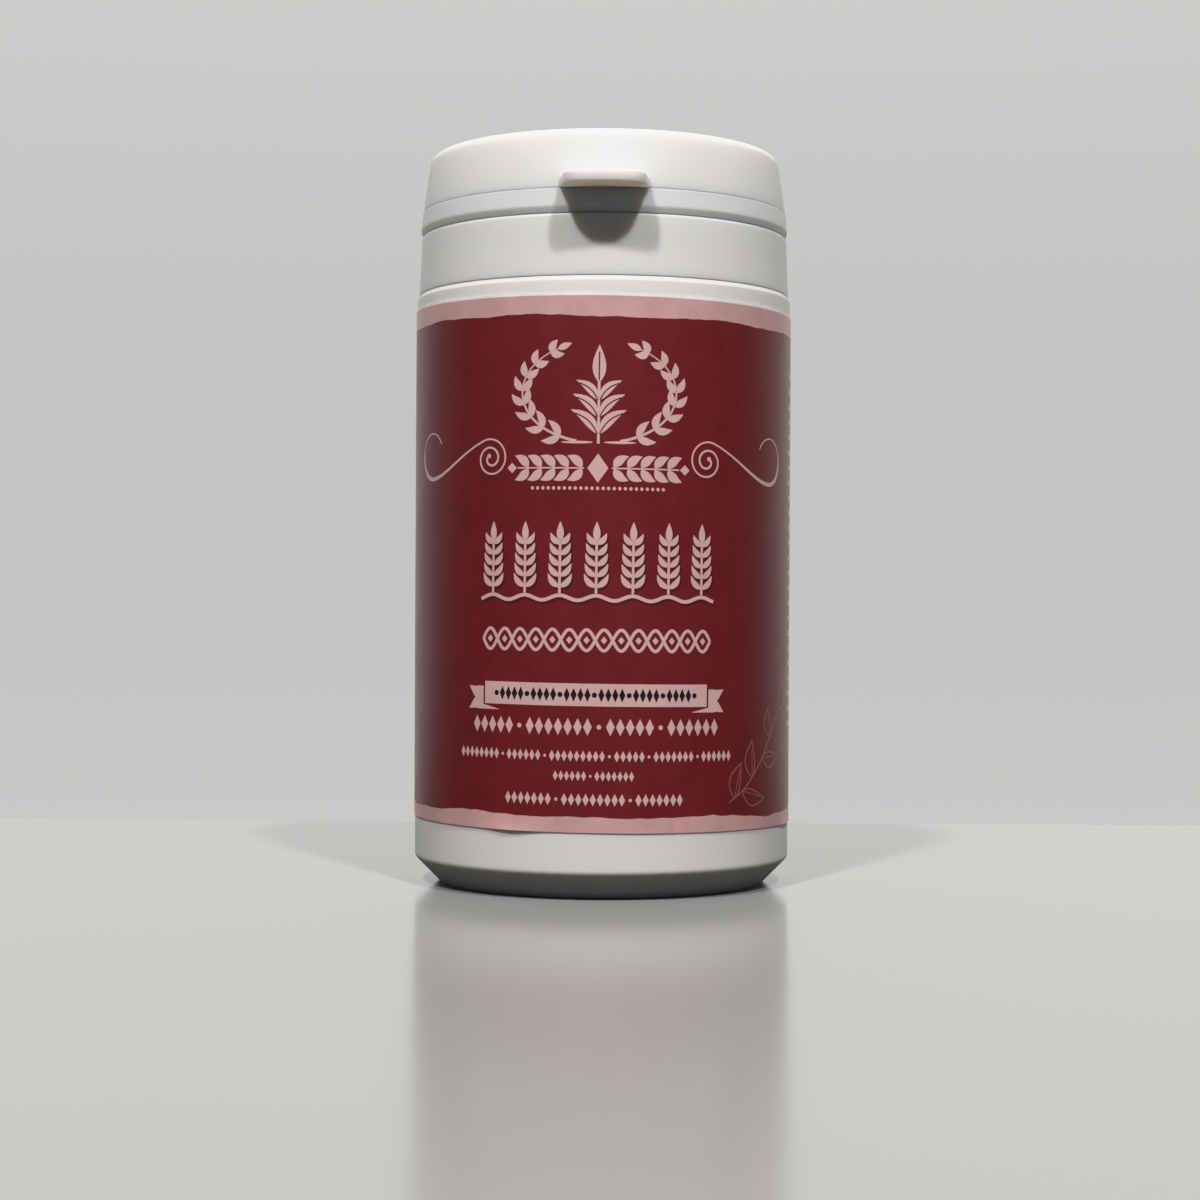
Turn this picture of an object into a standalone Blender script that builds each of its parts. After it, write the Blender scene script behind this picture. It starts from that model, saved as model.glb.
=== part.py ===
"""Flip-top capsule jar: a white plastic jar with a push-on hinged cap and a wrap-around label.

Metres, +Z up. The origin is the centre of the foot, on the jar's axis. The thumb tab faces -Y and
the hinge is at +Y. Profiles are written in millimetres as (radius, height) pairs.
"""

import math

import bmesh
import bpy
from mathutils import Vector

MM = 0.001

# Driving dimensions, in millimetres.
SEGMENTS = 60
WALL_R = 28.85
WALL_T = 1.3
FOOT_R = 24.9
FOOT_CHAMFER = 4.0
FLOOR_T = 1.5
PAD_R = 8.0
FOOT_RING_R = 20.0
FOOT_RECESS = 0.5
SHOULDER_LOW_Z = 87.7
SHOULDER_TOP_Z = 89.9
SHOULDER_TOP_R = 28.6
NECK_R = 26.2
NECK_BORE_R = 25.0
RIM_Z = 102.2
BEAD_Z = 95.3
BEAD_PROUD = 0.55

COLLAR_LOW_Z = 90.3
COLLAR_LOW_R = 28.55
COLLAR_TOP_Z = 99.0
COLLAR_TOP_R = 28.2
COLLAR_BORE_R = 26.5

BAND_LOW_Z = 99.3
BAND_BEVEL_Z = 100.0
BAND_TOP_Z = 102.45
BAND_R = 28.05
BAND_BORE_R = 27.1
BAND_GAP_STEPS = 3
GRIP_STEPS = 3
GRIP_PROUD = 0.6

LID_LOW_Z = 102.75
LID_LOW_R = 28.0
LID_EDGE_Z = 110.5
LID_EDGE_ROUND = 1.3
LID_TOP_Z = 112.0
LID_T = 1.3
PLUG_R = 24.55
PLUG_T = 1.0
PLUG_LOW_Z = 99.8

TAB_REACH = 6.4
TAB_ROOT_HALF = 6.8
TAB_T = 1.4

HINGE_Y = 28.75
HINGE_BOSS_Y = 29.2
HINGE_BOSS_HALF = 7.5
FILM_HALF = 7.0
FILM_T = 0.45
FILM_FOLD_T = 0.3

LABEL_LOW_Z = 9.7
LABEL_TOP_Z = 87.4
LABEL_R = 29.05
LABEL_T = 0.1

STEP_DEG = 360.0 / SEGMENTS
JOINT_GAP = 0.3


def clear_scene():
    for old in list(bpy.data.objects):
        bpy.data.objects.remove(old, do_unlink=True)


def plastic(name, color, roughness):
    """A Principled material for one moulded or printed piece."""
    material = bpy.data.materials.new(name)
    material.use_nodes = True
    shader = material.node_tree.nodes["Principled BSDF"]
    shader.inputs["Base Color"].default_value = (*color, 1.0)
    shader.inputs["Roughness"].default_value = roughness
    shader.inputs["Metallic"].default_value = 0.0
    return material


def add_object(name, mesh_data, material=None):
    """Put a finished bmesh into a named object, shaded smooth but for its sharp corners."""
    bmesh.ops.recalc_face_normals(mesh_data, faces=mesh_data.faces)
    mesh = bpy.data.meshes.new(name)
    mesh_data.to_mesh(mesh)
    mesh_data.free()
    mesh.shade_smooth()
    mesh.set_sharp_from_angle(angle=math.radians(35))
    if material is not None:
        mesh.materials.append(material)
    piece = bpy.data.objects.new(name, mesh)
    bpy.context.scene.collection.objects.link(piece)
    return piece


def turned(name, profile, material=None, start_deg=0.0, sweep_deg=360.0, loop=True):
    """Turn a (radius, height) profile about Z, from start_deg measured from +X.

    A closed loop gives a ring; an open profile starts and ends on the axis. A sweep under a full
    turn is closed by a flat face at each end.
    """
    full = sweep_deg >= 360.0
    steps = round(sweep_deg / STEP_DEG)
    columns = steps if full else steps + 1
    bm = bmesh.new()
    rings = []
    for radius, height in profile:
        if radius == 0.0:
            rings.append([bm.verts.new((0.0, 0.0, height * MM))] * columns)
            continue
        ring = []
        for index in range(columns):
            angle = math.radians(start_deg + index * STEP_DEG)
            point = Vector((radius * math.cos(angle), radius * math.sin(angle), height))
            ring.append(bm.verts.new(point * MM))
        rings.append(ring)
    pairs = list(zip(rings, rings[1:]))
    if loop:
        pairs.append((rings[-1], rings[0]))
    for low, high in pairs:
        for index in range(steps):
            after = (index + 1) % columns
            corners = [low[index], low[after], high[after], high[index]]
            bm.faces.new(list(dict.fromkeys(corners)))
    if not full:
        bm.faces.new([ring[0] for ring in rings])
        bm.faces.new([ring[-1] for ring in rings])
    return add_object(name, bm, material)


def extruded(name, outline, low_z, high_z, material=None):
    """Raise a flat (x, y) outline from low_z to high_z."""
    bm = bmesh.new()
    base = bm.faces.new([bm.verts.new(Vector((x, y, low_z)) * MM) for x, y in outline])
    raised = bmesh.ops.extrude_face_region(bm, geom=[base])
    lifted = [item for item in raised["geom"] if isinstance(item, bmesh.types.BMVert)]
    bmesh.ops.translate(bm, verts=lifted, vec=Vector((0.0, 0.0, (high_z - low_z) * MM)))
    return add_object(name, bm, material)


def join_tool(piece, tool):
    """Unite a helper solid with a piece. The helper stays in the file, as a wire guide."""
    tool.hide_render = True
    tool.display_type = "WIRE"
    union = piece.modifiers.new(f"join_{tool.name}", "BOOLEAN")
    union.operation = "UNION"
    union.solver = "EXACT"
    union.object = tool


def arc(center, radius, start_deg, end_deg, count):
    """Points on a circular arc, in the plane of a profile or an outline."""
    points = []
    for index in range(count):
        angle = math.radians(start_deg + (end_deg - start_deg) * index / (count - 1))
        points.append((center[0] + radius * math.cos(angle), center[1] + radius * math.sin(angle)))
    return points


def skirt_radius(height):
    """The lid's skirt leans in as it rises, slightly faster towards the top."""
    rise = height - LID_LOW_Z
    return LID_LOW_R - 0.10 * rise - 0.0055 * rise * rise


def make_jar_body(material):
    """The jar: foot with a shallow annular recess, wall, shoulder, and neck with a snap bead."""
    bore = WALL_R - WALL_T
    profile = [
        (0.0, 0.0),
        (PAD_R, 0.0),
        (PAD_R + 0.5, FOOT_RECESS),
        (FOOT_RING_R - 0.5, FOOT_RECESS),
        (FOOT_RING_R, 0.0),
        (FOOT_R, 0.0),
        (WALL_R - 0.15, FOOT_CHAMFER - 0.2),
        (WALL_R, FOOT_CHAMFER + 0.2),
        (WALL_R, SHOULDER_LOW_Z),
        (SHOULDER_TOP_R, SHOULDER_TOP_Z - 0.25),
        (SHOULDER_TOP_R - 0.25, SHOULDER_TOP_Z),
        (NECK_R, SHOULDER_TOP_Z),
        (NECK_R, BEAD_Z - 1.0),
        (NECK_R + BEAD_PROUD, BEAD_Z - 0.3),
        (NECK_R + BEAD_PROUD, BEAD_Z + 0.3),
        (NECK_R, BEAD_Z + 1.6),
        (NECK_R, RIM_Z - 0.3),
        (NECK_R - 0.3, RIM_Z),
        (NECK_BORE_R + 0.3, RIM_Z),
        (NECK_BORE_R, RIM_Z - 0.3),
        (NECK_BORE_R, SHOULDER_TOP_Z - 1.2),
        (bore, SHOULDER_LOW_Z - 0.6),
        (bore, FLOOR_T + FOOT_CHAMFER - 0.7),
        (bore - FOOT_CHAMFER + 0.7, FLOOR_T),
        (0.0, FLOOR_T),
    ]
    return turned("jar_body", profile, material, loop=False)


def make_cap_collar(material):
    """The ring that snaps over the neck bead, with the hinge's lower boss at the back."""
    groove_r = NECK_R + BEAD_PROUD + 0.35
    profile = [
        (COLLAR_LOW_R - 0.15, COLLAR_LOW_Z),
        (COLLAR_LOW_R, COLLAR_LOW_Z + 0.15),
        (COLLAR_TOP_R, COLLAR_TOP_Z - 0.35),
        (COLLAR_TOP_R - 0.35, COLLAR_TOP_Z),
        (COLLAR_BORE_R, COLLAR_TOP_Z),
        (COLLAR_BORE_R, BEAD_Z + 2.1),
        (groove_r, BEAD_Z + 0.6),
        (groove_r, BEAD_Z - 0.8),
        (COLLAR_BORE_R, BEAD_Z - 1.5),
        (COLLAR_BORE_R + 0.5, COLLAR_LOW_Z),
    ]
    collar = turned("cap_collar", profile, material)
    boss = hinge_boss("collar_boss", COLLAR_TOP_Z - 2.2, COLLAR_TOP_Z - 0.9, COLLAR_TOP_Z)
    join_tool(collar, boss)
    return collar


def hinge_boss(name, slope_z, full_z, face_z):
    """A bar across the back that carries one end of the hinge film.

    Its face at face_z is square to the film; on the far side it slopes back to the wall at slope_z.
    """
    root_y = BAND_R - 1.15
    section = [
        (root_y, slope_z),
        (root_y, face_z),
        (HINGE_BOSS_Y, face_z),
        (HINGE_BOSS_Y, full_z),
        (BAND_R - 0.35, slope_z),
    ]
    return bar_across(name, section, HINGE_BOSS_HALF)


def bar_across(name, section, half_width, material=None):
    """Carry a (y, z) section along X, from -half_width to half_width."""
    bm = bmesh.new()
    face = bm.faces.new([bm.verts.new(Vector((-half_width, y, z)) * MM) for y, z in section])
    moved = bmesh.ops.extrude_face_region(bm, geom=[face])
    far_end = [item for item in moved["geom"] if isinstance(item, bmesh.types.BMVert)]
    bmesh.ops.translate(bm, verts=far_end, vec=Vector((2.0 * half_width * MM, 0.0, 0.0)))
    return add_object(name, bm, material)


def make_tear_band(material):
    """The tamper-evident band, open at the hinge, with a thicker pull grip at one end."""
    gap_deg = BAND_GAP_STEPS * STEP_DEG
    start = 90.0 + gap_deg
    profile = [
        (BAND_R - 0.7, BAND_LOW_Z),
        (BAND_R, BAND_BEVEL_Z),
        (BAND_R, BAND_TOP_Z - 0.2),
        (BAND_R - 0.2, BAND_TOP_Z),
        (BAND_BORE_R, BAND_TOP_Z),
        (BAND_BORE_R, BAND_LOW_Z),
    ]
    band = turned("tear_band", profile, material, start, 360.0 - 2.0 * gap_deg)
    grip_profile = [
        (BAND_R - 0.4, BAND_BEVEL_Z),
        (BAND_R + GRIP_PROUD, BAND_BEVEL_Z + 0.4),
        (BAND_R + GRIP_PROUD, BAND_TOP_Z - 0.5),
        (BAND_R - 0.4, BAND_TOP_Z - 0.2),
    ]
    grip = turned("tear_band_grip", grip_profile, None, start, GRIP_STEPS * STEP_DEG)
    join_tool(band, grip)
    return band


def make_lid(material):
    """The lid: tapered skirt, rounded top edge, slight crown, and a plug ring under the top."""
    under_z = LID_TOP_Z - LID_T - 0.4
    edge_r = skirt_radius(LID_EDGE_Z)
    edge_center = (edge_r - LID_EDGE_ROUND, LID_EDGE_Z - 0.1)
    skirt_heights = [LID_LOW_Z + 0.15, 105.5, 108.2]
    profile = [(0.0, LID_TOP_Z), (0.5 * LID_LOW_R, LID_TOP_Z - 0.1)]
    profile += list(reversed(arc(edge_center, LID_EDGE_ROUND, 8.0, 86.0, 4)))
    profile += [(skirt_radius(z), z) for z in reversed(skirt_heights)]
    profile += [
        (LID_LOW_R - 0.15, LID_LOW_Z),
        (LID_LOW_R - LID_T, LID_LOW_Z),
        (skirt_radius(LID_EDGE_Z) - LID_T - 0.2, under_z - 0.9),
        (skirt_radius(LID_EDGE_Z) - LID_T - 0.9, under_z),
        (PLUG_R, under_z),
        (PLUG_R, PLUG_LOW_Z + 0.5),
        (PLUG_R - 0.3, PLUG_LOW_Z),
        (PLUG_R - PLUG_T, PLUG_LOW_Z),
        (PLUG_R - PLUG_T, under_z),
        (0.0, under_z),
    ]
    lid = turned("lid", profile, material, loop=False)
    join_tool(lid, thumb_tab())
    join_tool(lid, hinge_boss("lid_boss", LID_LOW_Z + 2.2, LID_LOW_Z + 0.9, LID_LOW_Z))
    return lid


def thumb_tab():
    """A tongue under the lid's front edge: it narrows forward and ends in a soft, wide nose."""
    front_y = -(LID_LOW_R + TAB_REACH)
    corner_r = 2.3
    corner = (3.3, front_y + 0.15 + corner_r)
    right = [(TAB_ROOT_HALF - 0.5, -LID_LOW_R - 2.1)] + arc(corner, corner_r, -10.0, -90.0, 5)
    left = [(-x, y) for x, y in reversed(right)]
    root_r = LID_LOW_R - 0.6
    root_deg = math.degrees(math.asin(TAB_ROOT_HALF / root_r))
    root = arc((0.0, 0.0), root_r, 270.0 - root_deg, 270.0 + root_deg, 5)
    outline = right + [(0.0, front_y)] + left + root
    return extruded("thumb_tab", outline, LID_LOW_Z, LID_LOW_Z + TAB_T)


def make_hinge_film(material):
    """The living hinge: a thin strap, thinner still along its fold line."""
    low = COLLAR_TOP_Z + JOINT_GAP
    high = LID_LOW_Z - JOINT_GAP
    fold = (low + high) / 2.0
    inner = HINGE_Y - FILM_T / 2.0
    outer = HINGE_Y + FILM_T / 2.0
    section = [
        (inner, low),
        (inner, high),
        (outer, high),
        (outer, fold + 0.4),
        (inner + FILM_FOLD_T, fold),
        (outer, fold - 0.4),
        (outer, low),
    ]
    return bar_across("hinge_film", section, FILM_HALF, material)


def make_label(material):
    """The label: one thin wrap round the wall, its ends a few millimetres apart at the back."""
    profile = [
        (LABEL_R - LABEL_T, LABEL_LOW_Z),
        (LABEL_R, LABEL_LOW_Z),
        (LABEL_R, LABEL_TOP_Z),
        (LABEL_R - LABEL_T, LABEL_TOP_Z),
    ]
    return turned("label", profile, material, 90.0 + STEP_DEG, 360.0 - 2.0 * STEP_DEG)


def main():
    clear_scene()
    jar_white = plastic("jar_white", (0.80, 0.79, 0.77), 0.38)
    cap_white = plastic("cap_white", (0.82, 0.81, 0.79), 0.32)
    label_red = plastic("label_red", (0.135, 0.012, 0.014), 0.45)
    make_jar_body(jar_white)
    make_cap_collar(cap_white)
    make_tear_band(cap_white)
    make_lid(cap_white)
    make_hinge_film(cap_white)
    make_label(label_red)


main()
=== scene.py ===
"""A white push-on flip-top jar with a tamper band and a printed wrap-around label.

Metres, +Z up, origin at the centre of the foot. The thumb tab faces -Y and the hinge is at +Y.
Shape functions work in millimetres, and add_piece scales them to metres. Angles round the axis
start at the front and grow towards +X.
"""

import math

import bpy
import numpy as np
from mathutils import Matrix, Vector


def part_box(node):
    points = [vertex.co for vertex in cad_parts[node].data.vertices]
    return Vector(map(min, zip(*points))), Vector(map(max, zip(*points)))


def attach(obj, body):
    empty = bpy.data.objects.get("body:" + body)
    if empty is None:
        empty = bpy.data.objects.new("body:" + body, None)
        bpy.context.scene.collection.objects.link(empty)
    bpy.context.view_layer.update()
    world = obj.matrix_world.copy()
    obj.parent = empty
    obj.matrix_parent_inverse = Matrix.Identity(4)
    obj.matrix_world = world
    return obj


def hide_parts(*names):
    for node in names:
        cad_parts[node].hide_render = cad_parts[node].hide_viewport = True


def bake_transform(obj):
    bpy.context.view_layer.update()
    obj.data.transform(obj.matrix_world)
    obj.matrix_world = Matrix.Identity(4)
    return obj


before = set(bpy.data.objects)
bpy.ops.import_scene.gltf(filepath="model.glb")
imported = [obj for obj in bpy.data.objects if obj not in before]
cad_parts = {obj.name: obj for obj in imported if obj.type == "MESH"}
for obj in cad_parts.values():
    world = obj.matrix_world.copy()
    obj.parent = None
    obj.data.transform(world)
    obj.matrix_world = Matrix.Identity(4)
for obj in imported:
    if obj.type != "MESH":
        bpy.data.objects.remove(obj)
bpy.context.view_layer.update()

MM = 0.001
SHARP_ANGLE = math.radians(35.0)


def corner_span(node):
    """Lowest and highest corner of a CAD node, in millimetres."""
    low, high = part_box(node)
    return np.array(low) / MM, np.array(high) / MM


JAR_HIGH = corner_span("jar_body")[1]
COLLAR_LOW, COLLAR_HIGH = corner_span("cap_collar")
BAND_HIGH = corner_span("tear_band")[1]
LID_LOW, LID_HIGH = corner_span("lid")
FILM_LOW, FILM_HIGH = corner_span("hinge_film")
LABEL_LOW, LABEL_HIGH = corner_span("label")

# Sizes, in millimetres -------------------------------------

# The foot: a gate mark in its middle, and a shallow ring between the pad and the standing ring
GATE_R = 1.1
GATE_DEEP = 0.25
RECESS_IN_R = 7.9
RECESS_OUT_R = 20.1
RECESS_DEEP = 0.5
WALL_R = JAR_HIGH[0]
WALL_T = 1.3
FOOT_R = WALL_R - 3.95
FOOT_RISE = 4.0
FLOOR_Z = 1.5
SHOULDER_Z = COLLAR_LOW[2] - 0.25
SHOULDER_R = WALL_R - 0.04
SHOULDER_RISE = 0.62
NECK_R = 26.2
NECK_BORE_R = 25.0
RIM_Z = JAR_HIGH[2]
BEAD_Z = COLLAR_LOW[2] + 5.0
BEAD_PROUD = 0.55

COLLAR_R = COLLAR_HIGH[0]
COLLAR_FOOT_Z = COLLAR_LOW[2] - 0.15
COLLAR_TOP_Z = COLLAR_HIGH[2] + 0.2
COLLAR_TOP_R = COLLAR_R - 0.35
COLLAR_BORE_R = NECK_R + 0.3

BAND_R = BAND_HIGH[0]
BAND_FOOT_Z = COLLAR_TOP_Z + 0.08
BAND_TOP_Z = BAND_HIGH[2] + 0.42
BAND_FACE_R = BAND_R + 0.30
BAND_LEAN = 0.28
BAND_BEVEL = 0.32
BAND_BORE_R = BAND_R - 0.95
BAND_END = math.radians(162.0)
GRIP_SPAN = math.radians(18.0)
GRIP_PROUD = 0.6
GRIP_RIBS = 9

LID_R = 28.0
LID_FOOT_Z = BAND_TOP_Z + 0.03
LID_TOP_Z = LID_HIGH[2]
LID_EDGE_Z = LID_TOP_Z - 0.3
LID_EDGE_FILLET = 1.6
LID_WALL = 1.3
LID_FLOOR_IN_R = LID_R - LID_WALL + 0.35
LID_FLOOR_OUT_R = LID_R - 0.15
SKIRT_LEAN = 0.10
SKIRT_CURVE = 0.0055
# Where the tab's bands of rows end round the rest of the skirt, above the lid's foot
SKIRT_BANDS = (1.0, 1.35, 1.85, 2.25)
PLUG_R = 24.55
PLUG_FOOT_Z = LID_LOW[2]

TAB_REACH = -LID_LOW[1] - LID_R
TAB_FOOT_Z = BAND_TOP_Z - 0.18
TAB_TOP_Z = BAND_TOP_Z + 1.48
TAB_HALF = 5.6
TAB_CORNER = 3.0
TAB_ROOT = (TAB_HALF + 1.2, LID_R - 3.0)
TAB_SOFT = 0.9

BOSS_Y = COLLAR_HIGH[1]
BOSS_HALF = 7.5
# Only walls further out than this are drawn onto a boss
BOSS_SKIN_R = 27.3
FILM_Y = (FILM_LOW[1] + FILM_HIGH[1]) / 2.0
FILM_T = FILM_HIGH[1] - FILM_LOW[1]
FILM_HALF = FILM_HIGH[0]

LABEL_R = LABEL_HIGH[0] - 0.05
LABEL_T = 0.12
LABEL_FOOT = LABEL_LOW[2] + 0.25
LABEL_TOP = LABEL_HIGH[2]
LABEL_MID = (LABEL_FOOT + LABEL_TOP) / 2.0
LABEL_TALL = LABEL_TOP - LABEL_FOOT
LABEL_HALF = LABEL_R * math.radians(174.0)
LABEL_CORNER = 2.5
# The bare strip along the label's top edge, coloured near white as a painted highlight of its lit
# cut edge, and the close rows along both edges
LABEL_RIM = 0.3
LABEL_SKEW = math.radians(0.58)
# The label's UV map is its flat plan in millimetres divided by these
PLAN_WIDE = 200.0
PLAN_TALL = 100.0
PRINT_SHIFT = -0.9

# How far the ink reaches into the label and out of its face
INK_SUNK = -0.04
INK_PROUD = 0.015
OVERPRINT_PROUD = 2.0 * INK_PROUD


# Profiles and surfaces -------------------------------------

def smoothstep(value):
    """0 below 0, 1 above 1, and 3v^2 - 2v^3 between."""
    value = np.clip(value, 0.0, 1.0)
    return value * value * (3.0 - 2.0 * value)


def unit(vectors):
    """Each vector divided by its length."""
    return vectors / np.linalg.norm(vectors, axis=-1, keepdims=True)


def straight_run(start, end, hold, spacing):
    """Points from start to end: even ones no further apart than spacing, and one near each end."""
    length = np.linalg.norm(end - start)
    marks = np.linspace(0.0, 1.0, math.ceil(length / spacing) + 1)
    if length > 4.0 * hold:
        marks = np.union1d(marks, (hold / length, 1.0 - hold / length))
    return start + marks[:, None] * (end - start)


def rounded(corners, hold=0.12, spacing=1.6, steps=5):
    """A (radius, height) line through corners given as (radius, height, fillet).

    At a corner that turns by t, an arc of the fillet radius f touches both runs f * tan(t / 2)
    away. Its centre lies f / cos(t / 2) from the corner, on the line that halves the corner.
    """
    corners = np.array(corners, float)
    pieces = []
    pen = corners[0, :2]
    for before, here, after in zip(corners, corners[1:], corners[2:]):
        spot, fillet = here[:2], here[2]
        back, ahead = unit(before[:2] - spot), unit(after[:2] - spot)
        turn = math.pi - math.acos(np.clip(back @ ahead, -1.0, 1.0))
        if fillet == 0.0 or turn < 0.01:
            pieces.append(straight_run(pen, spot, hold, spacing))
            pen = spot
            continue
        reach = fillet * math.tan(turn / 2.0)
        centre = spot + unit(back + ahead) * fillet / math.cos(turn / 2.0)
        start, end = spot + back * reach, spot + ahead * reach
        first = math.atan2(*(start - centre)[::-1])
        side = math.copysign(1.0, ahead[0] * back[1] - ahead[1] * back[0])
        sweep = first + side * turn * np.linspace(0.0, 1.0, steps + 1)
        pieces.append(straight_run(pen, start, hold, spacing))
        pieces.append(centre + fillet * np.column_stack((np.cos(sweep), np.sin(sweep))))
        pen = end
    pieces.append(straight_run(pen, corners[-1, :2], hold, spacing))
    line = np.concatenate(pieces)
    moved = np.linalg.norm(np.diff(line, axis=0), axis=1) > 1e-4
    return line[np.concatenate(([True], moved))]


def columns(*spans):
    """Angles in radians for spans of (start, end, step) in degrees, each without its end."""
    parts = [np.linspace(a, b, round((b - a) / step), endpoint=False) for a, b, step in spans]
    return np.radians(np.concatenate(parts))


EVEN_COLUMNS = columns((-180, 180, 1.5))
BACK_COLUMNS = columns((-180, -162, 0.5), (-162, 162, 1.5), (162, 180, 0.5))
LID_COLUMNS = columns(
    (-180, -162, 0.5), (-162, -16, 1.46), (-16, 16, 0.25), (16, 162, 1.46), (162, 180, 0.5)
)


def grid_faces(index, wrap_across=True, wrap_up=False):
    """Quads over a grid of point numbers whose columns run left to right and rows run up.

    They face out. Where a row is one repeated point, each quad becomes a triangle.
    """
    if wrap_across:
        index = np.hstack((index, index[:, :1]))
    if wrap_up:
        index = np.vstack((index, index[:1]))
    corners = (index[:-1, :-1], index[:-1, 1:], index[1:, 1:], index[1:, :-1])
    quads = np.stack(corners, axis=-1).reshape(-1, 4)
    low_pole = quads[:, 0] == quads[:, 1]
    high_pole = quads[:, 2] == quads[:, 3]
    faces = quads[~(low_pole | high_pole)].tolist()
    faces += quads[low_pole][:, [0, 2, 3]].tolist()
    faces += quads[high_pole][:, :3].tolist()
    return faces


def around(angle, radius, height):
    """Points at an angle round the axis, a radius from it and a height, as (..., 3)."""
    angle, radius, height = np.broadcast_arrays(angle, radius, height)
    return np.stack((radius * np.sin(angle), -radius * np.cos(angle), height), axis=-1)


def new_object(name, data):
    """An object at the origin, in the scene."""
    made = bpy.data.objects.new(name, data)
    bpy.context.scene.collection.objects.link(made)
    return made


def add_piece(name, body, points, faces, material, replaced=(), plan=None):
    """Make a mesh object in metres, let it ride on a body, and hide the CAD parts it stands for.

    A plan gives each point's place on the flat label. With no body, the piece is left unattached.
    """
    mesh = bpy.data.meshes.new(name)
    mesh.from_pydata((np.reshape(points, (-1, 3)) * MM).tolist(), [], faces)
    mesh.shade_smooth()
    mesh.set_sharp_from_angle(angle=SHARP_ANGLE)
    mesh.materials.append(material)
    if plan is not None:
        corner_point = np.empty(len(mesh.loops), dtype=np.int32)
        mesh.loops.foreach_get("vertex_index", corner_point)
        layer = mesh.uv_layers.new(name="label_plan")
        layer.data.foreach_set("uv", plan[corner_point].astype(np.float32).ravel())
    piece = new_object(name, mesh)
    if body is not None:
        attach(piece, body)
    if replaced:
        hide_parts(*replaced)
    return piece


def turned(
    name, node, line, angles, material, shape=None,
    body="jar", ring=False, full=True,
):
    """Carry a (radius, height) line round the axis; shape(angle, radius, height) may move it.

    Rows on the axis are drawn together into one point. A ring's line closes on itself. A turn
    that isn't full gets a flat face at each end.
    """
    angle, radius = np.meshgrid(angles, line[:, 0])
    height = np.repeat(line[:, 1:2], len(angles), axis=1)
    if shape is not None:
        radius, height = shape(angle, radius, height)
    points = around(angle, radius, height).reshape(-1, 3)
    index = np.arange(len(points)).reshape(angle.shape)
    pole = line[:, 0] == 0.0
    index[pole] = index[pole][:, :1]
    kept, compact = np.unique(index, return_inverse=True)
    index = compact.reshape(index.shape)
    faces = grid_faces(index, wrap_across=full, wrap_up=ring)
    if not full:
        faces += [index[:, 0].tolist(), index[::-1, -1].tolist()]
    add_piece(name, body, points[kept], faces, material, (node,))


# Shader node groups and materials --------------------------

def put(tree, kind, inputs=None, **settings):
    """Add a node. An input is given a value, or an output that is linked to it."""
    made = tree.nodes.new(kind)
    for key, value in settings.items():
        setattr(made, key, value)
    for key, value in (inputs or {}).items():
        if isinstance(value, bpy.types.NodeSocket):
            tree.links.new(value, made.inputs[key])
        else:
            made.inputs[key].default_value = value
    return made


def math_node(tree, operation, *values):
    """One Math node's result."""
    return put(tree, "ShaderNodeMath", dict(enumerate(values)), operation=operation).outputs[0]


def map_range(tree, value, start, end, low, high, **settings):
    """A value that goes from low to high, and no further, as another goes from start to end."""
    inputs = {"Value": value, "From Min": start, "From Max": end, "To Min": low, "To Max": high}
    return put(tree, "ShaderNodeMapRange", inputs, **settings).outputs["Result"]


def colour_mix(tree, factor, low, high):
    """The colour low where the factor is 0, and high where it is 1."""
    inputs = {"Factor": factor, 6: low, 7: high}
    return put(tree, "ShaderNodeMix", inputs, data_type="RGBA").outputs[2]


def noise(tree, place, scale, detail=2.0, roughness=0.5):
    """A noise texture's value, from 0 to 1 about 0.5. Its scale is in cells per unit of place."""
    inputs = {"Vector": place, "Scale": scale, "Detail": detail, "Roughness": roughness}
    return put(tree, "ShaderNodeTexNoise", inputs).outputs["Fac"]


def new_group(name, inputs, outputs):
    """A node group with named sockets; returns it with its inner ends."""
    tree = bpy.data.node_groups.new(name, "ShaderNodeTree")
    for label, kind, value in inputs:
        socket = tree.interface.new_socket(label, in_out="INPUT", socket_type=f"NodeSocket{kind}")
        if value is not None:
            socket.default_value = value
    for label, kind in outputs:
        tree.interface.new_socket(label, in_out="OUTPUT", socket_type=f"NodeSocket{kind}")
    return tree, tree.nodes.new("NodeGroupInput").outputs, tree.nodes.new("NodeGroupOutput").inputs


def use_group(tree, group, inputs):
    """Place a group in a material and give its inputs."""
    return put(tree, "ShaderNodeGroup", inputs, node_tree=group).outputs


def tinted(tree, amount, colour, low, high, start=0.0, end=1.0):
    """A colour times a factor that goes from low to high as amount goes from start to end."""
    inputs = {0: colour, "Scale": map_range(tree, amount, start, end, low, high)}
    return put(tree, "ShaderNodeVectorMath", inputs, operation="SCALE").outputs["Vector"]


def give_surface(tree, result, *values):
    """Link a group's colour, roughness and height to its outputs."""
    for (name, kind), value in zip(SURFACE, values):
        tree.links.new(value, result[name])


# What a surface group puts out
SURFACE = [("Color", "Color"), ("Roughness", "Float"), ("Height", "Float")]


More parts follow.
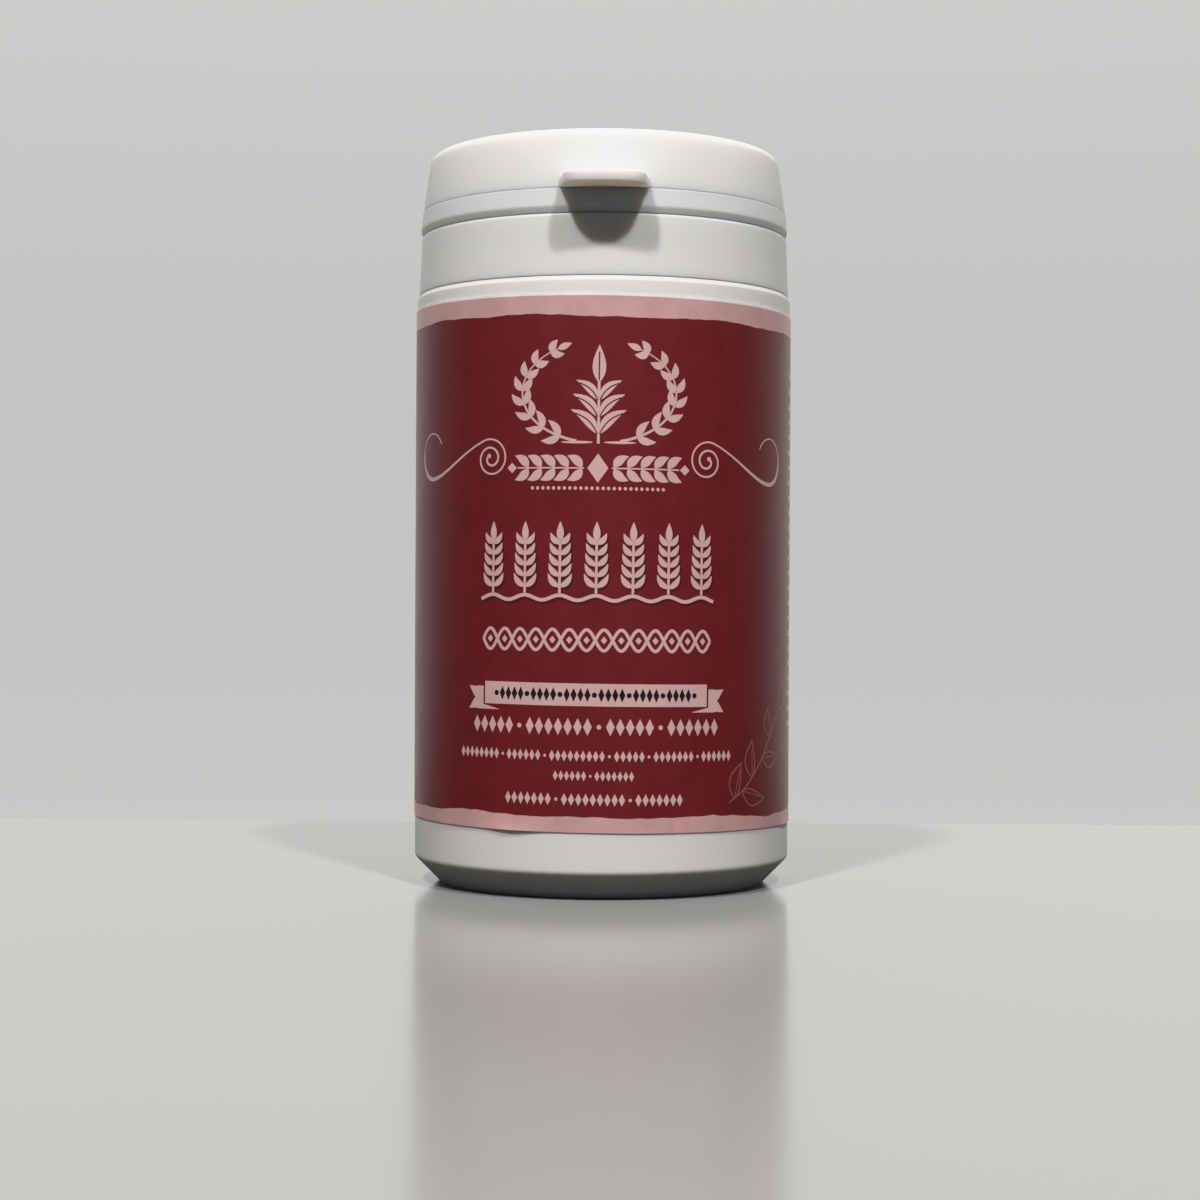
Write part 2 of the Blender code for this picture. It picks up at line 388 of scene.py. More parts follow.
def moulded_group():
    """Moulded plastic: a fine spark-eroded grain, and broad soft swells from the mould."""
    tree, given, result = new_group(
        "moulded_plastic",
        [
            ("Place", "Vector", None),
            ("Plastic", "Color", (0.8, 0.8, 0.8, 1.0)),
            ("Roughness", "Float", 0.4),
            ("Grain Scale", "Float", 4000.0),
        ],
        SURFACE,
    )
    grain = noise(tree, given["Place"], given["Grain Scale"], 3.0, 0.6)
    cloud = noise(tree, given["Place"], 70.0, 3.0, 0.55)
    swell = noise(tree, given["Place"], 28.0, 1.0)
    colour = tinted(tree, cloud, given["Plastic"], 0.975, 1.02)
    rough = math_node(tree, "MULTIPLY_ADD", grain, 0.10, given["Roughness"])
    rough = math_node(tree, "MULTIPLY_ADD", cloud, 0.08, rough)
    rough = math_node(tree, "SUBTRACT", rough, 0.09)
    height = math_node(tree, "MULTIPLY_ADD", swell, 6.0, grain)
    give_surface(tree, result, colour, rough, height)
    return tree


def printed_group():
    """Ink on satin film: faint mottling, a fine vertical drag, and the film's orange peel."""
    tree, given, result = new_group(
        "printed_film",
        [
            ("Place", "Vector", None),
            ("Ink", "Color", (0.5, 0.5, 0.5, 1.0)),
            ("Roughness", "Float", 0.4),
            ("Mottle", "Float", 0.1),
        ],
        SURFACE,
    )
    drawn = put(
        tree, "ShaderNodeVectorMath", {0: given["Place"], 1: (1.0, 1.0, 0.12)}, operation="MULTIPLY"
    ).outputs["Vector"]
    patches = noise(tree, given["Place"], 260.0, 4.0, 0.6)
    drag = noise(tree, drawn, 900.0, 2.0, 0.6)
    peel = noise(tree, given["Place"], 1500.0, 2.0, 0.5)
    swell = noise(tree, given["Place"], 90.0, 1.0)
    mixed = math_node(tree, "MULTIPLY_ADD", drag, 0.15, math_node(tree, "MULTIPLY", patches, 0.85))
    low = math_node(tree, "SUBTRACT", 1.0, given["Mottle"])
    high = math_node(tree, "ADD", 1.0, given["Mottle"])
    colour = tinted(tree, mixed, given["Ink"], low, high, 0.3, 0.7)
    rough = math_node(tree, "MULTIPLY_ADD", patches, 0.12, given["Roughness"])
    rough = math_node(tree, "SUBTRACT", rough, 0.06)
    height = math_node(tree, "MULTIPLY_ADD", swell, 5.0, peel)
    give_surface(tree, result, colour, rough, height)
    return tree


def wavy_edge_group():
    """A border cut by hand: 1 above a line that wanders about its height, 0 below it.

    Across, up, height and swing are in millimetres; each lane is a different line.
    """
    tree, given, result = new_group(
        "wavy_edge",
        [
            ("Across", "Float", 0.0),
            ("Up", "Float", 0.0),
            ("Height", "Float", 0.0),
            ("Swing", "Float", 1.0),
            ("Lane", "Float", 0.0),
        ],
        [("Mask", "Float")],
    )
    slow_place = put(
        tree, "ShaderNodeCombineXYZ", {"X": given["Across"], "Y": given["Lane"]}
    ).outputs["Vector"]
    slow = noise(tree, slow_place, 0.085, 0.0)
    quick = noise(tree, slow_place, 0.30, 2.0, 0.45)
    wander = math_node(tree, "MULTIPLY_ADD", quick, 0.45, slow)
    wander = math_node(tree, "MULTIPLY", math_node(tree, "SUBTRACT", wander, 0.725), given["Swing"])
    line = math_node(tree, "ADD", given["Height"], wander)
    rise = math_node(tree, "SUBTRACT", given["Up"], line)
    tree.links.new(map_range(tree, rise, -0.03, 0.03, 0.0, 1.0), result["Mask"])
    return tree


MOULDED = moulded_group()
PRINTED = printed_group()
WAVY_EDGE = wavy_edge_group()


def new_material(name):
    """A node material with its tree, its Principled shader and an object-space place."""
    material = bpy.data.materials.new(name)
    material.use_nodes = True
    tree = material.node_tree
    shader = tree.nodes["Principled BSDF"]
    place = tree.nodes.new("ShaderNodeTexCoord").outputs["Object"]
    return material, tree, shader, place


MOULDED_GLOSS = 0.22
PRINT_GLOSS = 0.40
GRAIN_DEEP = 0.004 * MM
PEEL_DEEP = 0.006 * MM
PLASTIC_IOR = 1.49
GLOW_REACH = (1.0, 0.82, 0.62)

RED = (0.168, 0.0130, 0.0150, 1.0)
PALE = (0.66, 0.385, 0.375, 1.0)
# Bare film pushed to full white: a painted highlight where the label's cut top edge catches the
# light
BARE_FILM_PAINTED_HIGHLIGHT = (1.0, 0.94, 0.91, 1.0)


def finish_surface(tree, shader, outputs, bump_distance, gloss):
    """Feed a group's colour, roughness and height to the shader, and set how glossy it is."""
    shader.inputs["Specular IOR Level"].default_value = gloss
    tree.links.new(outputs["Color"], shader.inputs["Base Color"])
    tree.links.new(outputs["Roughness"], shader.inputs["Roughness"])
    bump = put(tree, "ShaderNodeBump", {"Height": outputs["Height"], "Distance": bump_distance})
    tree.links.new(bump.outputs["Normal"], shader.inputs["Normal"])


def moulded_material(name, colour, roughness, grain_scale, glow, glow_depth):
    """White polyolefin: satin, slightly translucent, warm where light comes through it."""
    material, tree, shader, place = new_material(name)
    inputs = {"Place": place, "Plastic": colour, "Roughness": roughness, "Grain Scale": grain_scale}
    finish_surface(tree, shader, use_group(tree, MOULDED, inputs), GRAIN_DEEP, MOULDED_GLOSS)
    shader.inputs["IOR"].default_value = PLASTIC_IOR
    shader.inputs["Subsurface Weight"].default_value = glow
    shader.inputs["Subsurface Radius"].default_value = GLOW_REACH
    shader.inputs["Subsurface Scale"].default_value = glow_depth
    return material


def ink_material(name, colour, roughness, mottle):
    """A flat satin ink."""
    material, tree, shader, place = new_material(name)
    inputs = {"Place": place, "Ink": colour, "Roughness": roughness, "Mottle": mottle}
    finish_surface(tree, shader, use_group(tree, PRINTED, inputs), GRAIN_DEEP, PRINT_GLOSS)
    return material


def label_material():
    """Red film with a pale wavy border along its top and bottom, and a bare strip at the top
    painted near white as the highlight of the lit cut edge.
    """
    material, tree, shader, place = new_material("label_film")
    plan = put(tree, "ShaderNodeUVMap", uv_map="label_plan").outputs["UV"]
    split = put(tree, "ShaderNodeSeparateXYZ", {"Vector": plan}).outputs
    across = math_node(tree, "MULTIPLY", split["X"], PLAN_WIDE)
    up = math_node(tree, "MULTIPLY", split["Y"], PLAN_TALL)

    def above_wave(height, swing, lane):
        inputs = {"Across": across, "Up": up, "Height": height, "Swing": swing, "Lane": lane}
        return use_group(tree, WAVY_EDGE, inputs)["Mask"]

    top = above_wave(LABEL_TOP - 3.15, 1.2, 3.7)
    low = math_node(tree, "SUBTRACT", 1.0, above_wave(LABEL_FOOT + 2.2, 1.3, 41.3))
    printed = colour_mix(tree, math_node(tree, "MAXIMUM", top, low), RED, PALE)
    # The top strip is bare film, with its brightness a painted highlight of the lit cut edge
    cut = math_node(tree, "GREATER_THAN", up, LABEL_TOP - LABEL_RIM)
    film = colour_mix(tree, cut, printed, BARE_FILM_PAINTED_HIGHLIGHT)
    inputs = {"Place": place, "Ink": film, "Roughness": 0.40, "Mottle": 0.10}
    finish_surface(tree, shader, use_group(tree, PRINTED, inputs), PEEL_DEEP, PRINT_GLOSS)
    return material


CAP_WHITE = (0.85, 0.812, 0.785, 1.0)
JAR_WHITE = (0.845, 0.815, 0.79, 1.0)

CAP_PLASTIC = moulded_material("cap_plastic", CAP_WHITE, 0.54, 5200.0, 0.78, 3.0 * MM)
JAR_PLASTIC = moulded_material("jar_plastic", JAR_WHITE, 0.50, 3600.0, 0.4, 2.5 * MM)
LABEL_FILM = label_material()
PALE_INK = ink_material("pale_ink", (0.72, 0.46, 0.45, 1.0), 0.44, 0.05)
RED_INK = ink_material("red_ink", RED, 0.40, 0.08)
FAINT_INK = ink_material("faint_ink", (0.33, 0.13, 0.125, 1.0), 0.42, 0.10)
DEEP_INK = ink_material("deep_red_ink", (0.085, 0.008, 0.009, 1.0), 0.42, 0.08)
DARK_INK = ink_material("dark_ink", (0.020, 0.008, 0.009, 1.0), 0.42, 0.10)


# The jar and its cap ---------------------------------------

def make_jar_shell():
    """The jar: gate mark, foot ring, chamfer, wall, shoulder, beaded neck, and the inside."""
    bore = WALL_R - WALL_T
    line = rounded([
        (0.0, GATE_DEEP, 0.0),
        (GATE_R, GATE_DEEP, 0.12),
        (GATE_R + 0.3, 0.0, 0.12),
        (RECESS_IN_R, 0.0, 0.3),
        (RECESS_IN_R + 0.7, RECESS_DEEP, 0.3),
        (RECESS_OUT_R - 0.7, RECESS_DEEP, 0.3),
        (RECESS_OUT_R, 0.0, 0.3),
        (FOOT_R, 0.0, 0.8),
        (WALL_R, FOOT_RISE, 1.1),
        (WALL_R, LABEL_TOP, 0.8),
        (SHOULDER_R, SHOULDER_Z - SHOULDER_RISE, 0.4),
        (COLLAR_R - 0.05, SHOULDER_Z, 0.12),
        (NECK_R, SHOULDER_Z, 0.2),
        (NECK_R, BEAD_Z - 1.0, 0.3),
        (NECK_R + BEAD_PROUD, BEAD_Z - 0.3, 0.25),
        (NECK_R + BEAD_PROUD, BEAD_Z + 0.3, 0.25),
        (NECK_R, BEAD_Z + 1.6, 0.4),
        (NECK_R, RIM_Z, 0.45),
        (NECK_BORE_R, RIM_Z, 0.45),
        (NECK_BORE_R, SHOULDER_Z - 1.2, 1.0),
        (bore, SHOULDER_Z - 2.8, 1.0),
        (bore, FLOOR_Z + 3.3, 1.2),
        (bore - 3.3, FLOOR_Z, 1.2),
        (0.0, FLOOR_Z, 0.0),
    ])
    turned("jar_shell", "jar_body", line, EVEN_COLUMNS, JAR_PLASTIC)


def boss_weight(angle, radius):
    """1 across the flat back of a hinge boss, falling to 0 just past each end of it."""
    sideways = np.abs(radius * np.sin(angle))
    behind = np.cos(angle) < 0.0
    return behind * (1.0 - smoothstep((sideways - BOSS_HALF + 0.5) / 0.6))


def with_boss(angle, radius, rise):
    """Draw the outer wall out to the flat boss face y = BOSS_Y, by a share rise from 0 to 1."""
    flat = BOSS_Y / np.maximum(-np.cos(angle), 0.5)
    outer = smoothstep((radius - BOSS_SKIN_R) / 0.5)
    weight = boss_weight(angle, radius) * rise * outer
    return radius + weight * (flat - radius)


def make_cap_ring():
    """The collar that grips the neck, with the hinge's lower boss at the back."""
    top = COLLAR_TOP_Z
    foot = COLLAR_FOOT_Z
    groove = NECK_R + BEAD_PROUD + 0.35
    line = rounded([
        (COLLAR_BORE_R, top - 1.0, 0.0),
        (COLLAR_BORE_R, BEAD_Z + 2.1, 0.2),
        (groove, BEAD_Z + 0.6, 0.2),
        (groove, BEAD_Z - 0.8, 0.2),
        (COLLAR_BORE_R, BEAD_Z - 1.5, 0.2),
        (COLLAR_BORE_R + 0.5, foot, 0.15),
        (COLLAR_R, foot, 0.12),
        (COLLAR_TOP_R, top, 0.5),
        (COLLAR_BORE_R, top, 0.2),
        (COLLAR_BORE_R, top - 1.0, 0.0),
    ], spacing=0.9)[:-1]

    def shape(angle, radius, height):
        rise = smoothstep((height - top + 2.2) / 1.3)
        return with_boss(angle, radius, rise), height

    turned("cap_ring", "cap_collar", line, BACK_COLUMNS, CAP_PLASTIC, shape, ring=True)


def make_tamper_band():
    """The break-off band: bevelled foot, leaning face, gap at the hinge, ribbed grip at one end."""
    foot, top = BAND_FOOT_Z, BAND_TOP_Z
    line = rounded([
        (BAND_BORE_R, foot + 1.6, 0.0),
        (BAND_BORE_R, foot, 0.1),
        (BAND_FACE_R - BAND_BEVEL, foot, 0.1),
        (BAND_FACE_R, foot + 0.9, 0.9),
        (BAND_FACE_R - BAND_LEAN, top, 0.24),
        (BAND_BORE_R, top, 0.1),
        (BAND_BORE_R, foot + 1.6, 0.0),
    ], spacing=0.3)[:-1]
    end, grip_end = math.degrees(BAND_END), math.degrees(GRIP_SPAN - BAND_END) + 1.0
    angles = np.append(columns((-end, grip_end, 0.25), (grip_end, end, 1.43)), BAND_END)

    def shape(angle, radius, height):
        along = (angle + BAND_END) / GRIP_SPAN
        lengthwise = smoothstep(along / 0.06) * (1.0 - smoothstep((along - 0.9) / 0.1))
        middle = (foot + top) / 2.0 + 0.3
        upright = 1.0 - smoothstep((np.abs(height - middle) - 0.65) / 0.4)
        ribs = 0.82 + 0.18 * np.cos(2.0 * math.pi * GRIP_RIBS * along)
        outer = smoothstep((radius - BAND_BORE_R - 0.3) / 0.3)
        return radius + GRIP_PROUD * lengthwise * upright * ribs * outer, height

    turned("tamper_band", "tear_band", line, angles, CAP_PLASTIC, shape, ring=True, full=False)


def skirt_radius(height):
    """The lid's skirt leans in as it rises, slightly faster towards the top."""
    rise = height - LID_FOOT_Z
    return LID_R - SKIRT_LEAN * rise - SKIRT_CURVE * rise * rise


def tab_reach(angle):
    """How far the thumb tab stands out of the skirt at an angle from the front.

    In plan the tab is a line with a nearly straight nose, a rounded corner and a flank that
    spreads towards the skirt. Its distance from the axis is read off at each angle. The root is
    soft: the larger of the reach h and zero is taken as (h + sqrt(h^2 + k^2)) / 2.
    """
    nose = LID_R + TAB_REACH
    plan = rounded([
        (0.0, nose - 0.05, 0.0),
        (0.6, nose - 0.05, 12.0),
        (TAB_HALF, nose - 0.55, TAB_CORNER),
        (TAB_HALF + 0.9, LID_R - 1.0, 0.0),
        (*TAB_ROOT, 0.0),
    ], spacing=0.4, steps=16)
    turn = np.arctan2(plan[:, 0], plan[:, 1])
    reach = np.interp(np.abs(angle), turn, np.hypot(plan[:, 0], plan[:, 1])) - LID_R
    away = math.hypot(*TAB_ROOT) - LID_R
    rest = (away + math.hypot(away, TAB_SOFT)) / 2.0
    return (reach + np.hypot(reach, TAB_SOFT)) / 2.0 - rest


def tab_rows():
    """Row marks, from 0 to 1, of the tab's foot corner, face, top edge, top run and root fillet."""
    return [np.linspace(0.0, 1.0, count, endpoint=False) for count in (4, 6, 6, 12, 9)]


def plain_section():
    """Those rows on the plain skirt, as (radius, height): a small foot arc, then even bands."""
    corner, *upper = tab_rows()
    swing = 0.5 * math.pi * corner
    foot = 0.06
    low = np.column_stack((
        LID_R - foot + foot * np.sin(swing),
        LID_FOOT_Z + foot - foot * np.cos(swing),
    ))
    starts = (foot, *SKIRT_BANDS)
    bands = [a + (b - a) * rows for a, b, rows in zip(starts, SKIRT_BANDS, upper)]
    heights = LID_FOOT_Z + np.concatenate(bands)
    return np.vstack((low, np.column_stack((skirt_radius(heights), heights))))


def tab_underside(radius):
    """The tab's underside: level with the lid's foot over the band, and lower outside it."""
    outside = smoothstep((radius - BAND_R - 0.45) / 0.6)
    return LID_FOOT_Z - (LID_FOOT_Z - TAB_FOOT_Z) * outside


def tab_section(reach):
    """Those rows on the tab for each column's reach, as radius and height grids.

    The face stands at LID_R + reach and tucks in by a square law towards its foot. A quarter arc
    of radius e rolls onto the top, the top runs in, and a hollow quarter arc of radius f rises
    into the skirt.
    """
    corner, face, edge, run, root = (rows[:, None] for rows in tab_rows())
    reach = reach[None, :]
    nose = LID_R + reach
    low = tab_underside(nose)
    top = TAB_TOP_Z
    foot = 0.2
    e = np.minimum(0.30, 0.35 * reach)
    bulge = np.minimum(0.10, 0.1 * reach)
    f = np.minimum(0.75, 0.50 * reach)
    skirt = skirt_radius(top + f)
    swing = 0.5 * math.pi * corner
    turn = 0.5 * math.pi * edge
    climb = 0.5 * math.pi * root
    radius = np.vstack((
        nose - bulge - foot + foot * np.sin(swing),
        nose - bulge * (1.0 - face) ** 2,
        nose - e + e * np.cos(turn),
        (nose - e) + run * (skirt + f - nose + e),
        skirt + f - f * np.sin(climb),
    ))
    height = np.vstack((
        low + foot - foot * np.cos(swing),
        low + foot + face * (top - low - e - foot),
        top - e + e * np.sin(turn),
        np.full_like(run * reach, top),
        top + f - f * np.cos(climb),
    ))
    return radius, height


def make_flip_top():
    """The lid: plug ring, inner skirt, thumb tab, tapered skirt, rolled edge and slight crown."""
    ceiling = LID_TOP_Z - LID_WALL - 0.4
    inside = rounded([
        (0.0, ceiling, 0.0),
        (PLUG_R - 1.0, ceiling, 0.5),
        (PLUG_R - 1.0, PLUG_FOOT_Z, 0.3),
        (PLUG_R, PLUG_FOOT_Z, 0.45),
        (PLUG_R + 0.03, ceiling - 0.05, 0.0),
        (PLUG_R + 0.2, ceiling, 0.0),
        (skirt_radius(LID_TOP_Z - 1.5) - LID_WALL - 0.15, ceiling - 0.9, 0.5),
        (LID_R - LID_WALL, LID_FOOT_Z, 0.1),
        (LID_FLOOR_IN_R, LID_FOOT_Z, 0.0),
    ])
    floor = np.linspace(LID_FLOOR_IN_R, LID_FLOOR_OUT_R, 9)[1:-1]
    floor = np.column_stack((floor, np.full(len(floor), LID_FOOT_Z)))
    plain = plain_section()
    heights = np.linspace(LID_FOOT_Z + SKIRT_BANDS[-1], LID_EDGE_Z - LID_EDGE_FILLET - 0.2, 8)
    climb = [(skirt_radius(height), height, 0.0) for height in heights]
    outside = rounded([
        *climb,
        (skirt_radius(LID_EDGE_Z), LID_EDGE_Z, LID_EDGE_FILLET),
        (20.0, LID_TOP_Z - 0.17, 0.0),
        (14.0, LID_TOP_Z - 0.08, 0.0),
        (7.0, LID_TOP_Z - 0.02, 0.0),
        (0.0, LID_TOP_Z, 0.0),
    ], steps=8)
    line = np.vstack((inside, floor, plain, outside))
    under = slice(len(inside), len(inside) + len(floor))
    lower = slice(under.stop, under.stop + len(plain))

    def shape(angle, radius, height):
        reach = tab_reach(angle[0])
        share = smoothstep(reach / 0.8)
        radius, height = radius.copy(), height.copy()
        slide = (radius[under] - LID_FLOOR_IN_R) / (LID_FLOOR_OUT_R - LID_FLOOR_IN_R)
        radius[under] += slide * share * reach
        height[under] += share * (tab_underside(radius[under]) - LID_FOOT_Z)
        tab_radius, tab_height = tab_section(np.maximum(reach, 0.05))
        radius[lower] += share * (tab_radius - radius[lower])
        height[lower] += share * (tab_height - height[lower])
        rise = 1.0 - smoothstep((height - LID_FOOT_Z - 0.9) / 1.3)
        return with_boss(angle, radius, rise), height

    turned("flip_top", "lid", line, LID_COLUMNS, CAP_PLASTIC, shape, body="flip_lid")


def make_fold_hinge():
    """The living hinge: a strap that dips by a bell curve to a thin fold line at its middle.

    Its ends reach into the bosses of the collar and the lid.
    """
    low, high = FILM_LOW[2] - 0.55, LID_FOOT_Z + 0.4
    fold = (FILM_LOW[2] + FILM_HIGH[2]) / 2.0
    heights = np.linspace(low, high, 41)
    dip = np.exp(-((heights - fold) / 0.35) ** 2)
    outer = np.column_stack((FILM_Y + FILM_T / 2.0 - 0.17 * dip, heights))
    inner = np.column_stack((FILM_Y - FILM_T / 2.0 + 0.04 * dip, heights))
    loop = np.vstack((outer, inner[::-1]))
    sideways = np.linspace(FILM_HALF, -FILM_HALF, 29)
    across, depth = np.meshgrid(sideways, loop[:, 0])
    height = np.repeat(loop[:, 1:2], len(sideways), axis=1)
    points = np.stack((across, depth, height), axis=-1)
    index = np.arange(across.size).reshape(across.shape)
    faces = grid_faces(index, wrap_across=False, wrap_up=True)
    faces += [index[:, 0].tolist(), index[::-1, -1].tolist()]
    hinge = add_piece("fold_hinge", None, points, faces, CAP_PLASTIC, ("hinge_film",))
    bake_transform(hinge)


# The label and its print -----------------------------------

def label_relief(across, up):
    """How far the label stands off the wall: faint ripples, two lifted spots, raised ends."""
    ripple = 0.012 * np.sin(across / 5.3 + up / 17.0) + 0.008 * np.sin(across / 2.1 - up / 9.0)
    foot_rise = np.exp(-np.clip(up - LABEL_FOOT, 0.0, None) / 1.1)
    left_lift = 0.30 * np.exp(-((across + 13.2) / 3.6) ** 2) * foot_rise
    right_lift = 0.20 * np.exp(-((across - 37.5) / 2.2) ** 2) * foot_rise
    end_lift = 0.10 * np.exp(-(LABEL_HALF - np.abs(across)) / 0.8)
    return ripple + left_lift + right_lift + end_lift


def on_label(across, up, proud):
    """Points of the flat label laid on the wall, proud of its face by some millimetres.

    The flat label is turned by LABEL_SKEW about its middle, then wrapped round the axis:
    the arc length over LABEL_R is the angle.
    """
    raised = up - LABEL_MID
    arc = across * math.cos(LABEL_SKEW) + raised * math.sin(LABEL_SKEW)
    height = LABEL_MID + raised * math.cos(LABEL_SKEW) - across * math.sin(LABEL_SKEW)
    radius = LABEL_R + label_relief(across, up) + proud
    return around(arc / LABEL_R, radius, height)


def make_label_wrap():
    """One thin wrap with rounded corners: a face grid and a back grid joined round the edge.

    Near the top and bottom edges a row is shorter, by the corner circle's own width there.
    """
    rows = np.concatenate((
        np.linspace(0.0, LABEL_RIM, 3, endpoint=False),
        np.linspace(LABEL_RIM, LABEL_CORNER, 7, endpoint=False),
        np.linspace(LABEL_CORNER, LABEL_TALL - LABEL_CORNER, 38),
        LABEL_TALL - np.linspace(LABEL_CORNER, LABEL_RIM, 7, endpoint=False)[1:],
        LABEL_TALL - np.linspace(LABEL_RIM, 0.0, 4),
    ))
    to_edge = np.minimum(rows, LABEL_TALL - rows)
    short = np.clip(LABEL_CORNER - to_edge, 0.0, LABEL_CORNER)
    trim = LABEL_CORNER - np.sqrt(LABEL_CORNER ** 2 - short ** 2)
    share = np.linspace(-1.0, 1.0, 421)
    across = (LABEL_HALF - trim)[:, None] * share[None, :]
    up = LABEL_FOOT + np.repeat(rows[:, None], len(share), axis=1)
    face = on_label(across, up, 0.0).reshape(-1, 3)
    back = on_label(across, up, -LABEL_T).reshape(-1, 3)
    index = np.arange(across.size).reshape(across.shape)
    behind = index + across.size
    faces = grid_faces(index, wrap_across=False) + grid_faces(behind[:, ::-1], wrap_across=False)
    rim = np.concatenate((index[0], index[1:, -1], index[-1, -2::-1], index[-2:0:-1, 0]))
    under = rim + across.size
    edge = np.stack((np.roll(rim, -1), rim, under, np.roll(under, -1)), axis=-1)
    faces += edge.tolist()
    plan = np.column_stack((across.ravel() / PLAN_WIDE, up.ravel() / PLAN_TALL))
    add_piece(
        "label_wrap", "jar", np.vstack((face, back)), faces, LABEL_FILM,
        ("label",), np.vstack((plan, plan)),
    )


def side_of(path, closed):
    """Unit normals of a path, made longer at a bend by 1 / cos(half the turn)."""
    ahead = np.roll(path, -1, axis=0) - path
    behind = path - np.roll(path, 1, axis=0)
    if not closed:
        ahead[-1], behind[0] = behind[-1], ahead[0]
    ahead = unit(ahead)
    mean = unit(ahead + unit(behind))
    stretch = 1.0 / np.clip(np.sum(mean * ahead, axis=1, keepdims=True), 0.5, 1.0)
    return np.column_stack((-mean[:, 1], mean[:, 0])) * stretch


def line_of_ink(path, half, closed=False, proud=INK_PROUD):
    """A printed line: half to either side of the path, from INK_SUNK to proud off the label.

    Its section has a middle point above and below, so that a wide line follows the round wall.
    """
    path = np.asarray(path, float)
    side = side_of(path, closed) * np.reshape(half, (-1, 1))
    section = ((1, proud), (0, proud), (-1, proud), (-1, INK_SUNK), (0, INK_SUNK), (1, INK_SUNK))
    rails = [np.insert(path + share * side, 2, level, axis=1) for share, level in section]
    points = np.stack(rails, axis=1)
    index = np.arange(6 * len(path)).reshape(-1, 6)
    here, there = index, np.roll(index, -1, axis=0)
    if not closed:
        here, there = here[:-1], there[:-1]
    quads = (np.roll(here, -1, axis=1), np.roll(there, -1, axis=1), there, here)
    quads = np.stack(quads, axis=-1).reshape(-1, 4)
    if not closed:
        start, end = index[0], index[-1]
        caps = (start[[5, 4, 1, 0]], start[[4, 3, 2, 1]], end[[0, 1, 4, 5]], end[[1, 2, 3, 4]])
        quads = np.vstack((quads, *caps))
    return points.reshape(-1, 3), quads


def print_piece(name, lines, ink):
    """Lay many lines of ink on the label as one piece."""
    counts = np.cumsum([0] + [len(points) for points, quads in lines])
    flat = np.vstack([points for points, quads in lines])
    faces = np.vstack([quads + start for (points, quads), start in zip(lines, counts)])
    points = on_label(flat[:, 0] + PRINT_SHIFT, flat[:, 1], flat[:, 2])
    add_piece(name, "jar", points, faces.tolist(), ink)


def midrib(base, tip, bend, count):
    """Points from base to tip, bowed sideways by bend times the length: sin(pi s) along it."""
    base, reach = np.array(base, float), np.subtract(tip, base)
    s = np.linspace(0.0, 1.0, count)[:, None]
    return base + s * reach + np.sin(math.pi * s) * bend * np.array((-reach[1], reach[0]))


def blade(width, count):
    """Half widths of a leaf along its midrib: width / 2 * sin(pi s^0.8)."""
    return width / 2.0 * np.sin(math.pi * np.linspace(0.0, 1.0, count) ** 0.8)


def bar(start, end, half, **options):
    """A straight line with square ends, and points on it to follow the round wall."""
    count = max(2, math.ceil(math.dist(start, end) / 0.8) + 1)
    return line_of_ink(midrib(start, end, 0.0, count), half, **options)


def taper(start, end, half):
    """A straight line that swells from a fine point to half and back: half * sin(pi s)^0.6."""
    s = np.linspace(0.0, 1.0, 25)
    return line_of_ink(midrib(start, end, 0.0, 25), 0.03 + half * np.sin(math.pi * s) ** 0.6)


def leaf(base, tip, width, bend=0.0, **options):
    """A leaf blade along a bowed midrib."""
    return line_of_ink(midrib(base, tip, bend, 15), 0.03 + blade(width, 15), **options)


def leaf_outline(base, tip, width, half, bend=0.0):
    """The edge of that leaf as a closed thin line."""
    reach = np.subtract(tip, base)
    unit = np.array((-reach[1], reach[0])) / np.linalg.norm(reach)
    rib = midrib(base, tip, bend, 21)
    out = blade(width, 21)[:, None] * unit
    return line_of_ink(np.vstack((rib + out, (rib - out)[-2:0:-1])), half, closed=True)


def dot(centre, radius, **options):
    """A round spot: half width sqrt(r^2 - x^2) along a diameter."""
    swing = np.linspace(math.pi, 0.0, 9)
    path = np.array(centre, float) + np.column_stack((radius * np.cos(swing), 0.0 * swing))
    return line_of_ink(path, 0.02 + radius * np.sin(swing), **options)


def lozenge(centre, wide, tall, **options):
    """A diamond spot, widest at its middle."""
    x, y = centre
    path = [(x - wide / 2.0, y), (x, y), (x + wide / 2.0, y)]
    return line_of_ink(path, [0.02, tall / 2.0, 0.02], **options)


def mirrored(lines):
    """The same lines with their mirror image across the label's middle line."""
    return lines + [(points * (-1.0, 1.0, 1.0), quads[:, ::-1]) for points, quads in lines]


def toward(start, degrees, length):
    """The point a length away from start in a direction."""
    turn = math.radians(degrees)
    return start[0] + length * math.cos(turn), start[1] + length * math.sin(turn)


